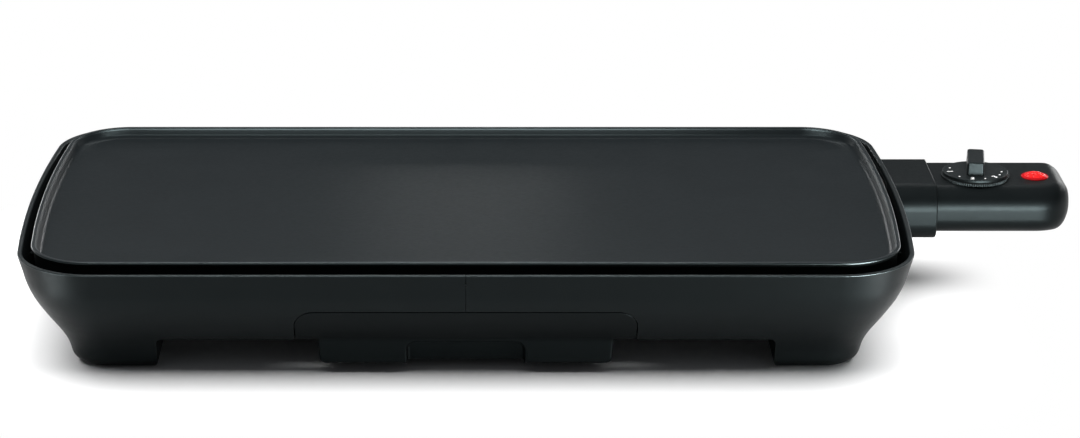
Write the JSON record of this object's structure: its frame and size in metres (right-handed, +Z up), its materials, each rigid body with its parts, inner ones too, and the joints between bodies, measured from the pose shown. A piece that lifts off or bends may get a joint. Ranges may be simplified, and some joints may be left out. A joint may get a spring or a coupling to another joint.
{
  "type": "electric plancha",
  "caption": "Electric table plancha: non-stick cooking plate in a bowl-sided base, drip drawer in front, plug-in thermostat control with dial and pilot light.",
  "frame": {"origin": "on the table under the middle of the whole object's box, the control included", "axes": "+X towards the plug-in control, -Y towards the drawer front, +Z up"},
  "size_m": [0.569, 0.2594, 0.0682],
  "materials": {
    "base_plastic": "satin black, very fine grain",
    "inner_plastic": "plain black moulding",
    "drawer_plastic": "satin black",
    "control_plastic": "satin black, fine grain",
    "dial_plastic": "satin black with white numbers",
    "nonstick_plate": "dark grey non-stick coating",
    "reflector_steel": "bright sheet",
    "sheath_steel": "dull stainless",
    "screw_steel": "zinc plated",
    "insulator": "dark phenolic moulding",
    "contact_brass": "plain",
    "red_lens": "transparent red",
    "lamp_glass": "clear",
    "pad_rubber": "matt black"
  },
  "bodies": {
    "base": {"base_left": "base_plastic", "base_right": "base_plastic", "drawer_cradle": "inner_plastic", "cradle_screws": "screw_steel", "front_seam_strap": "inner_plastic", "rear_seam_strap": "inner_plastic", "strap_screws": "screw_steel", "heat_reflector": "reflector_steel", "reflector_screws": "screw_steel", "connector_collar": "base_plastic", "collar_screws": "screw_steel", "foot_pad_front_left": "pad_rubber", "foot_pad_front_right": "pad_rubber", "foot_pad_rear_left": "pad_rubber", "foot_pad_rear_right": "pad_rubber"},
    "plate": {"cooking_plate": "nonstick_plate", "heating_element": "sheath_steel", "terminal_block": "insulator", "terminal_pins": "contact_brass", "earth_pin": "contact_brass"},
    "drawer": {"drawer_front": "drawer_plastic", "drip_tray": "drawer_plastic"},
    "control": {"control_housing": "control_plastic", "control_cover": "control_plastic", "cover_screws": "screw_steel", "control_nose": "insulator", "contact_forks": "contact_brass", "temperature_probe": "sheath_steel", "thermostat_switch": "insulator", "switch_bracket": "reflector_steel", "spindle_bush": "contact_brass", "pilot_lens": "red_lens", "neon_lamp": "lamp_glass", "dial_bezel": "dial_plastic", "cord_gland": "pad_rubber"},
    "dial": {"dial_knob": "dial_plastic", "dial_spindle": "sheath_steel", "knob_clip": "reflector_steel"}
  },
  "joints": [
    {"name": "plate_lift", "type": "slide", "parent": "base", "child": "plate", "axis": [0, 0, 1], "range_m": [0, 0.12]},
    {"name": "drawer_slide", "type": "slide", "parent": "base", "child": "drawer", "axis": [0, -1, 0], "range_m": [0, 0.16]},
    {"name": "control_plug", "type": "slide", "parent": "base", "child": "control", "axis": [1, 0, 0], "range_m": [0, 0.115]},
    {"name": "dial_turn", "type": "hinge", "parent": "control", "child": "dial", "pos_m": [0.2331, 0.0465, 0.06], "axis": [0, 0, 1], "range_deg": [-115, 125]}
  ]
}
